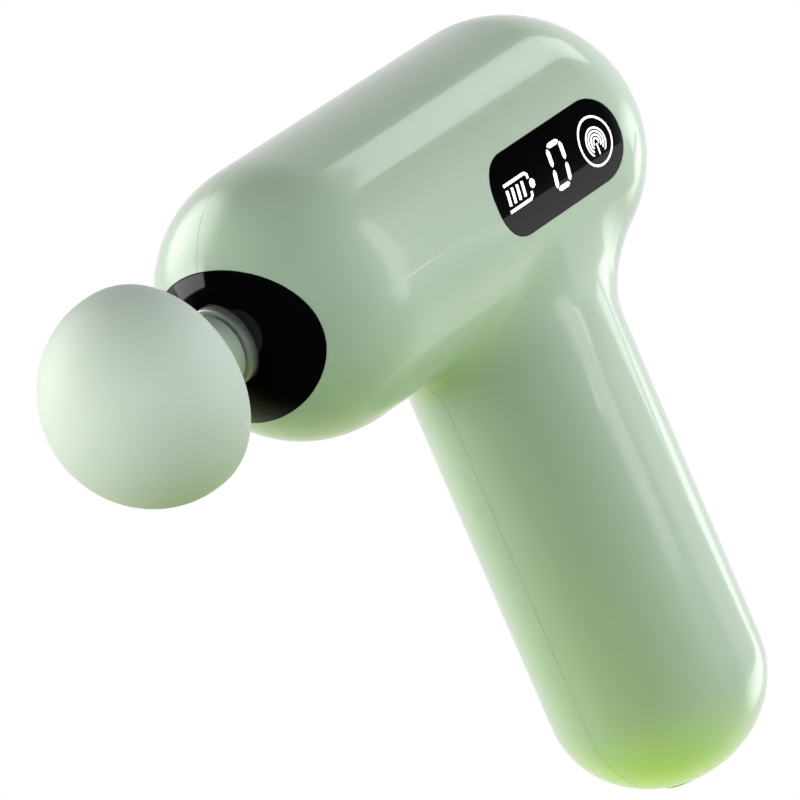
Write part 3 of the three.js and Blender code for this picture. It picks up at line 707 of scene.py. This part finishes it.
CORE_FRONT, CORE_R = -97, 8
NECK_FRONT, NECK_BACK, NECK_R = -80.5, -69.8, 6.8
STEM_R, STEM_END = 5.3, -51.5
RINGS = (-55.5, -65.0)
GROOVE_HALF, GROOVE_R = 0.9, 4.4
grooves = []
for middle in RINGS[::-1]:
    start, end = middle - GROOVE_HALF, middle + GROOVE_HALF
    grooves += [[start, STEM_R], [start, GROOVE_R], [end, GROOVE_R], [end, STEM_R]]
core = lathe("head_core_fine", rounded([
    [CORE_FRONT, 0], [CORE_FRONT, CORE_R], [NECK_FRONT, CORE_R], [NECK_FRONT, NECK_R], [NECK_BACK, NECK_R],
    [NECK_BACK, STEM_R], *grooves, [STEM_END - 0.7, STEM_R], [STEM_END, STEM_R - 0.7], [STEM_END, 0]], 0.25))
sharpen(core)
finish_piece(core, "head", "neck_mint", "head_core")

RING_HALF, RING_MIDDLE_R, RING_THICKNESS = 0.5, 4.94, 0.48
for number, middle in enumerate(RINGS, 1):
    turns = [k * math.pi / 12 for k in range(24)]
    section = [[middle + RING_HALF * math.sin(t), RING_MIDDLE_R + RING_THICKNESS * math.cos(t)]
               for t in turns]
    ring = lathe(f"stem_ring_{number}_fine", section + section[:1], segments=64)
    finish_piece(ring, "head", "black_rubber", f"stem_ring_{number}")

bezel = prism("port_bezel", slot_outline(PORT_L, PORT_W), "z", PORT_FACE, PORT_BACK)
boolean(bezel, prism("slot", slot_outline(4.75, 1.9), "z", -50, -40), "DIFFERENCE")
edge = bezel.modifiers.new("edge", "BEVEL")
edge.width = 0.25 * MM
edge.segments = 3
edge.limit_method = "ANGLE"
sharpen(bezel)
finish_piece(bezel, "casing", "body_mint", "port_plate")

USB_L, USB_W, USB_METAL = 4.45, 1.6, 0.3
shell = prism("usb_shell", slot_outline(USB_L, USB_W), "z", -46.5, -39.2)
mouth = prism("mouth", slot_outline(USB_L - USB_METAL, USB_W - USB_METAL), "z", -50, -40.2)
boolean(shell, mouth, "DIFFERENCE")
boolean(shell, box("tongue", (-3.3, -0.35, -45.5), (3.3, 0.35, -39.9)), "UNION")
sharpen(shell)
finish_piece(shell, "casing", "steel", "usb_port")

# ---- Stage and light -----------------------------------------------------------------------------
FLOOR_Z = -240
FILL = 0.14  # how bright the soft light from all round is
# Soft lights that only reflections see: the direction as (right, up, back) of the opening view, where each
# starts and is full, and how bright it is.
LOBES = (
    ((0, 0, -1), 0.0, 0.8, 0.9),
    ((0.80, 0.05, -0.60), 0.93, 0.985, 1.8),
    ((-0.85, 0.38, -0.35), 0.86, 0.985, 2.8),
)


def make_floor():
    size = 6000
    corners = [(-size, -size), (size, -size), (size, size), (-size, size)]
    floor = new_object("floor", [(x, y, FLOOR_Z) for x, y in corners], [(0, 1, 2, 3)])
    look = bpy.data.materials.new("pale floor")
    look.use_nodes = True
    shader = look.node_tree.nodes["Principled BSDF"]
    shader.inputs["Base Color"].default_value = (0, 0, 0, 1)
    shader.inputs["Specular IOR Level"].default_value = 0
    shader.inputs["Emission Color"].default_value = (1, 1, 1, 1)
    shader.inputs["Emission Strength"].default_value = 1.0
    floor.data.materials.append(look)
    floor.visible_diffuse = False
    floor.visible_glossy = False
    floor.visible_shadow = False


def make_world():
    """White where the camera looks, soft fill elsewhere, and a bright backdrop that only reflections see."""
    world = bpy.data.worlds.new("studio")
    scene.world = world
    world.use_nodes = True
    nodes, links = world.node_tree.nodes, world.node_tree.links
    nodes.clear()
    out = nodes.new("ShaderNodeOutputWorld")
    path = nodes.new("ShaderNodeLightPath")
    place = nodes.new("ShaderNodeTexCoord")
    seen, fill, backdrop = (nodes.new("ShaderNodeBackground") for _ in range(3))
    seen.inputs["Color"].default_value = (1, 1, 1, 1)
    fill.inputs["Color"].default_value = (0.90, 1.0, 0.88, 1)
    fill.inputs["Strength"].default_value = FILL

    def along(direction, low, high, to_low, to_high):
        """A smooth step in how far the ray points along a fixed studio direction."""
        dot = nodes.new("ShaderNodeVectorMath")
        dot.operation = "DOT_PRODUCT"
        dot.inputs[1].default_value = direction
        links.new(place.outputs["Generated"], dot.inputs[0])
        step = nodes.new("ShaderNodeMapRange")
        step.interpolation_type = "SMOOTHSTEP"
        for name, value in (("From Min", low), ("From Max", high), ("To Min", to_low), ("To Max", to_high)):
            step.inputs[name].default_value = value
        links.new(dot.outputs["Value"], step.inputs["Value"])
        return step.outputs["Result"]

    total = None
    for (right, upward, back), low, high, strength in LOBES:
        toward = (RIGHT * right + UP * upward + BACK * back).normalized()
        lobe = along(toward, low, high, 0.0, strength)
        if total is None:
            total = lobe
            continue
        both = nodes.new("ShaderNodeMath")
        links.new(total, both.inputs[0])
        links.new(lobe, both.inputs[1])
        total = both.outputs["Value"]
    links.new(total, backdrop.inputs["Strength"])
    tint = nodes.new("ShaderNodeMix")
    tint.data_type = "RGBA"
    tint.inputs["A"].default_value = (1, 1, 1, 1)
    tint.inputs["B"].default_value = (0.93, 1.0, 0.62, 1)
    links.new(along(-UP, 0.1, 0.8, 0, 1), tint.inputs["Factor"])
    links.new(tint.outputs["Result"], backdrop.inputs["Color"])
    soft = nodes.new("ShaderNodeMixShader")
    whole = nodes.new("ShaderNodeMixShader")
    links.new(path.outputs["Is Glossy Ray"], soft.inputs[0])
    links.new(fill.outputs[0], soft.inputs[1])
    links.new(backdrop.outputs[0], soft.inputs[2])
    links.new(path.outputs["Is Camera Ray"], whole.inputs[0])
    links.new(soft.outputs[0], whole.inputs[1])
    links.new(seen.outputs[0], whole.inputs[2])
    links.new(whole.outputs[0], out.inputs["Surface"])


def softbox(name, toward, distance, width, height, radiance, color=(1, 1, 1), aim=AIM):
    """An area light seen from aim along toward, given as (right, up, back) of the camera."""
    data = bpy.data.lights.new(name, "AREA")
    data.shape = "RECTANGLE"
    data.size = width
    data.size_y = height
    data.energy = radiance * math.pi * width * height
    data.color = color
    lamp = bpy.data.objects.new(name, data)
    direction = (RIGHT * toward[0] + UP * toward[1] + BACK * toward[2]).normalized()
    side = UP.cross(direction).normalized() if abs(direction.dot(UP)) < 0.97 else RIGHT.copy()
    over = direction.cross(side).normalized()
    turn = Matrix((side, over, direction)).transposed().to_4x4()
    lamp.matrix_world = Matrix.Translation(aim + direction * distance) @ turn
    lamp.visible_camera = False
    lamp.visible_glossy = False
    scene.collection.objects.link(lamp)


def on_barrel(x, angle):
    """A point and normal of the barrel at an angle above the display side, in millimetres."""
    turn = math.radians(angle)
    step = 0.05
    radius, before, after = (SKIN_R * float(cap_share([x + shift])[0]) for shift in (0, -step, step))
    normal = Vector(((before - after) / (2 * step), -math.cos(turn), math.sin(turn))).normalized()
    return Vector((x, -radius * math.cos(turn), AXIS_Z + radius * math.sin(turn))), normal


def on_handle(angle, z):
    """A point and normal of the handle at an angle behind the display side, in millimetres."""
    turn = math.radians(angle)
    normal = Vector((math.sin(turn) / HANDLE_A, -math.cos(turn) / HANDLE_B, 0)).normalized()
    return Vector((HANDLE_A * math.sin(turn), -HANDLE_B * math.cos(turn), z)), normal


def band(place, first, last, width):
    """The four corners of a straight band from first to last on the surface of place."""
    first, last, half = np.array(first, float), np.array(last, float), np.array(width) / 2
    return [place(*corner) for corner in (first + half, last + half, last - half, first - half)]


def card(name, marks, radiance, reach=300.0):
    """A glowing card that the camera sees reflected inside the outline of marks on the gloss."""
    corners = []
    for point, normal in marks:
        mirrored = normal * (2 * normal.dot(BACK)) - BACK
        corners.append(point + mirrored * reach)
    middle = sum(corners, Vector()) / len(corners)
    count = len(corners)
    faces = [(i, (i + 1) % count, count) for i in range(count)]
    thing = new_object(name, corners + [middle], faces, smooth=False)
    look = bpy.data.materials.new(name)
    look.use_nodes = True
    shader = look.node_tree.nodes["Principled BSDF"]
    shader.inputs["Base Color"].default_value = (0, 0, 0, 1)
    shader.inputs["Emission Color"].default_value = (1, 1, 1, 1)
    shader.inputs["Emission Strength"].default_value = radiance
    thing.data.materials.append(look)
    thing.visible_camera = False
    thing.visible_diffuse = False
    thing.visible_shadow = False
    thing.visible_transmission = False


make_floor()
make_world()
BALL = Vector((BALL_MIDDLE, 0, AXIS_Z)) * MM
FOOT = Vector((0, 0, -30)) * MM
softbox("left_fill", (-1.0, 0.05, -0.3), 0.9, 0.8, 0.9, 3.0, color=(1.0, 0.90, 0.98))
softbox("right_fill", (1.0, 0.5, 0.1), 0.9, 0.8, 0.9, 4.8, color=(1.0, 0.87, 1.0))
softbox("front_fill", (0.4, 0.25, 1.0), 1.3, 0.7, 0.7, 0.28)
softbox("glow", (0.1, -1.0, 0.1), 0.6, 0.7, 0.5, 0.68, color=(0.75, 1.0, 0.30))
softbox("foot_glow", (0.15, -1.0, 0.35), 0.09, 0.08, 0.07, 3.0, color=(0.85, 1.0, 0.05), aim=FOOT)
softbox("ball_side", (-1.0, -0.2, 0.25), 0.2, 0.18, 0.2, 3.4, color=(1.0, 0.84, 0.86), aim=BALL)
softbox("ball_front", (-0.1, -0.1, 1.0), 0.12, 0.07, 0.05, 6.6, color=(1.0, 0.94, 1.0), aim=BALL)
# Above the window, in its lower half, on the front cap, on the faceplate's rim, and two down the handle.
NOSE, RIM = FRONT["start"] - 3, FRONT["start"] - 21
card("shoulder_card", band(on_barrel, (-40, 45), (25, 35), (0, 15)), 2.6)
card("window_card", band(on_barrel, (WINDOW["x0"] - 2, -15), (WINDOW["x1"] + 2, -15), (0, 20)), 0.7)
card("nose_card", band(on_barrel, (NOSE, 25), (NOSE, -10), (3, 0)), 1.3)
card("plate_card", band(on_barrel, (RIM, 120), (RIM, 85), (2, 0)), 3.2)
card("edge_card", band(on_handle, (23, 50), (17, -15), (3, 0)), 1.0)
card("strip_card", band(on_handle, (-5, 45), (-12, 22), (8, 0)), 4.0)

scene.view_settings.view_transform = "Standard"
